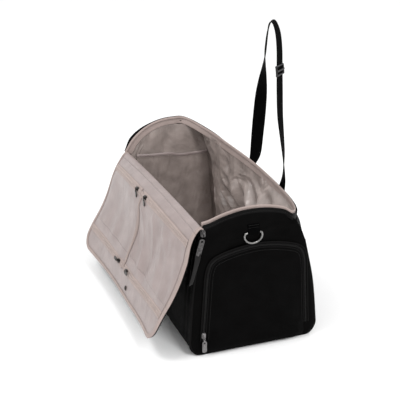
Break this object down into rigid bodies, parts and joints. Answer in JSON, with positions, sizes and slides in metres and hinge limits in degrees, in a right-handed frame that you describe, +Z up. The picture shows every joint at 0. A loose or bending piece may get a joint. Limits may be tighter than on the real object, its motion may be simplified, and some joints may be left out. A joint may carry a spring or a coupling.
{
  "type": "duffel changing bag",
  "caption": "Soft duffel changing bag standing open, wide flap lid folded out over the front, lined inside, end pockets and a tall carry strap.",
  "frame": {"origin": "middle of the bag's base, on the surface it stands on", "axes": "+X towards the slumped right end, -Y towards the side the lid hangs over, +Y towards the carry strap, +Z up"},
  "size_m": [0.5208, 0.3746, 0.6045],
  "materials": {
    "black_shell": "matt plain-weave nylon with a faint sheen",
    "lining": "smooth warm grey polyester lining, soft sheen",
    "black_trim": "woven zip tape and piping",
    "webbing": "ribbed black webbing",
    "stiffener": "thin board",
    "black_plastic": "moulded",
    "gunmetal": "dark polished nickel",
    "dark_metal": "dark enamel"
  },
  "bodies": {
    "root": {"base_panel": "black_shell", "base_board": "stiffener", "front_panel": "black_shell", "back_panel": "black_shell", "right_end_panel": "black_shell", "left_end_panel": "black_shell", "base_lining": "lining", "front_lining": "lining", "back_lining": "lining", "right_end_lining": "lining", "left_end_lining": "lining", "right_end_piping": "black_trim", "left_end_piping": "black_trim", "mouth_zip_tape": "black_trim", "mouth_binding": "lining", "left_end_slip_pocket": "lining", "back_slip_pocket": "lining", "right_pocket_zip": "black_trim", "left_pocket_zip": "black_trim", "right_ring_tab": "webbing", "left_ring_tab": "webbing", "main_slider": "gunmetal", "strap_anchors": "webbing"},
    "lid_band": {"lid_band_shell": "black_shell", "lid_band_lining": "lining"},
    "lid": {"lid_shell": "black_shell", "lid_lining": "lining", "lid_side_tapes": "black_trim", "lid_right_pocket": "lining", "lid_left_pocket": "lining", "lid_centre_seam": "lining", "lid_upper_zips": "lining", "lid_lower_zips": "lining"},
    "lid_edge": {"lid_edge_shell": "black_shell", "lid_edge_lining": "lining", "lid_edge_tape": "black_trim", "lid_stud": "dark_metal"},
    "strap": {"carry_strap": "webbing"},
    "strap_slide": {"strap_adjuster": "black_plastic"},
    "main_pull": {"main_pull": "gunmetal", "main_pull_tail": "webbing"},
    "right_ring": {"right_d_ring": "gunmetal"},
    "right_pocket": {"right_pocket_flap": "black_shell"},
    "right_slider": {"right_pocket_slider": "gunmetal"},
    "right_pull": {"right_pocket_pull": "gunmetal"},
    "left_ring": {"left_d_ring": "gunmetal"},
    "left_pocket": {"left_pocket_flap": "black_shell"},
    "left_slider": {"left_pocket_slider": "gunmetal"},
    "left_pull": {"left_pocket_pull": "gunmetal"},
    "upper_right_slider": {"lid_upper_right_slider": "dark_metal"},
    "upper_right_pull": {"lid_upper_right_pull": "dark_metal"},
    "upper_left_slider": {"lid_upper_left_slider": "dark_metal"},
    "upper_left_pull": {"lid_upper_left_pull": "dark_metal"},
    "lower_right_slider": {"lid_lower_right_slider": "dark_metal"},
    "lower_right_pull": {"lid_lower_right_pull": "dark_metal"},
    "lower_left_slider": {"lid_lower_left_slider": "dark_metal"},
    "lower_left_pull": {"lid_lower_left_pull": "dark_metal"}
  },
  "joints": [
    {"name": "lid_hinge", "type": "hinge", "parent": "root", "child": "lid_band", "pos_m": [0, -0.111, 0.268], "axis": [-1, 0, 0], "range_deg": [0, 116]},
    {"name": "lid_fold", "type": "hinge", "parent": "lid_band", "child": "lid", "pos_m": [0, -0.154, 0.257], "axis": [-1, 0, 0], "range_deg": [0, 122]},
    {"name": "lid_edge_fold", "type": "hinge", "parent": "lid", "child": "lid_edge", "pos_m": [0, -0.194, 0.095], "axis": [-1, 0, 0], "range_deg": [0, 70]},
    {"name": "strap_swing", "type": "hinge", "parent": "root", "child": "strap", "pos_m": [0, 0.141, 0.287], "axis": [1, 0, 0], "range_deg": [-120, 0]},
    {"name": "strap_adjuster_slide", "type": "slide", "parent": "strap", "child": "strap_slide", "axis": [-0.1516, 0, 0.9884], "range_m": [-0.08, 0.03]},
    {"name": "main_pull_swing", "type": "hinge", "parent": "root", "child": "main_pull", "pos_m": [0.2538, -0.113, 0.251], "axis": [0, -1, 0], "range_deg": [0, 110]},
    {"name": "right_ring_swing", "type": "hinge", "parent": "root", "child": "right_ring", "pos_m": [0.255, -0.01, 0.25], "axis": [0, -1, 0], "range_deg": [0, 150]},
    {"name": "right_pocket_hinge", "type": "hinge", "parent": "root", "child": "right_pocket", "pos_m": [0.2575, 0, 0.0335], "axis": [0, 1, 0], "range_deg": [0, 85]},
    {"name": "right_pocket_zip_slide", "type": "slide", "parent": "root", "child": "right_slider", "axis": [0, 0.0651, 0.9979], "range_m": [0, 0.118]},
    {"name": "right_pocket_pull_swing", "type": "hinge", "parent": "right_slider", "child": "right_pull", "pos_m": [0.259, -0.11072, 0.042], "axis": [0, -1, 0], "range_deg": [0, 110]},
    {"name": "left_ring_swing", "type": "hinge", "parent": "root", "child": "left_ring", "pos_m": [-0.255, -0.01, 0.25], "axis": [0, 1, 0], "range_deg": [0, 150]},
    {"name": "left_pocket_hinge", "type": "hinge", "parent": "root", "child": "left_pocket", "pos_m": [-0.2575, 0, 0.0335], "axis": [0, -1, 0], "range_deg": [0, 85]},
    {"name": "left_pocket_zip_slide", "type": "slide", "parent": "root", "child": "left_slider", "axis": [0, 0.0651, 0.9979], "range_m": [0, 0.118]},
    {"name": "left_pocket_pull_swing", "type": "hinge", "parent": "left_slider", "child": "left_pull", "pos_m": [-0.259, -0.11072, 0.042], "axis": [0, 1, 0], "range_deg": [0, 110]},
    {"name": "upper_right_zip_slide", "type": "slide", "parent": "lid", "child": "upper_right_slider", "axis": [1, 0, 0], "range_m": [0, 0.19]},
    {"name": "upper_right_pull_swing", "type": "hinge", "parent": "upper_right_slider", "child": "upper_right_pull", "pos_m": [0.028, -0.16205, 0.24639], "axis": [-1, 0, 0], "range_deg": [0, 150]},
    {"name": "upper_left_zip_slide", "type": "slide", "parent": "lid", "child": "upper_left_slider", "axis": [-1, 0, 0], "range_m": [0, 0.19]},
    {"name": "upper_left_pull_swing", "type": "hinge", "parent": "upper_left_slider", "child": "upper_left_pull", "pos_m": [-0.028, -0.16205, 0.24639], "axis": [-1, 0, 0], "range_deg": [0, 150]},
    {"name": "lower_right_zip_slide", "type": "slide", "parent": "lid", "child": "lower_right_slider", "axis": [1, 0, 0], "range_m": [0, 0.19]},
    {"name": "lower_right_pull_swing", "type": "hinge", "parent": "lower_right_slider", "child": "lower_right_pull", "pos_m": [0.028, -0.19618, 0.10814], "axis": [0, -0.4865, -0.8737], "range_deg": [0, 150]},
    {"name": "lower_left_zip_slide", "type": "slide", "parent": "lid", "child": "lower_left_slider", "axis": [-1, 0, 0], "range_m": [0, 0.19]},
    {"name": "lower_left_pull_swing", "type": "hinge", "parent": "lower_left_slider", "child": "lower_left_pull", "pos_m": [-0.028, -0.19618, 0.10814], "axis": [0, 0.4865, 0.8737], "range_deg": [0, 150]}
  ],
  "couplings": [
    {"joint": "lid_fold", "follows": "lid_hinge", "ratio": 1.05},
    {"joint": "lid_edge_fold", "follows": "lid_hinge", "ratio": 0.6}
  ]
}
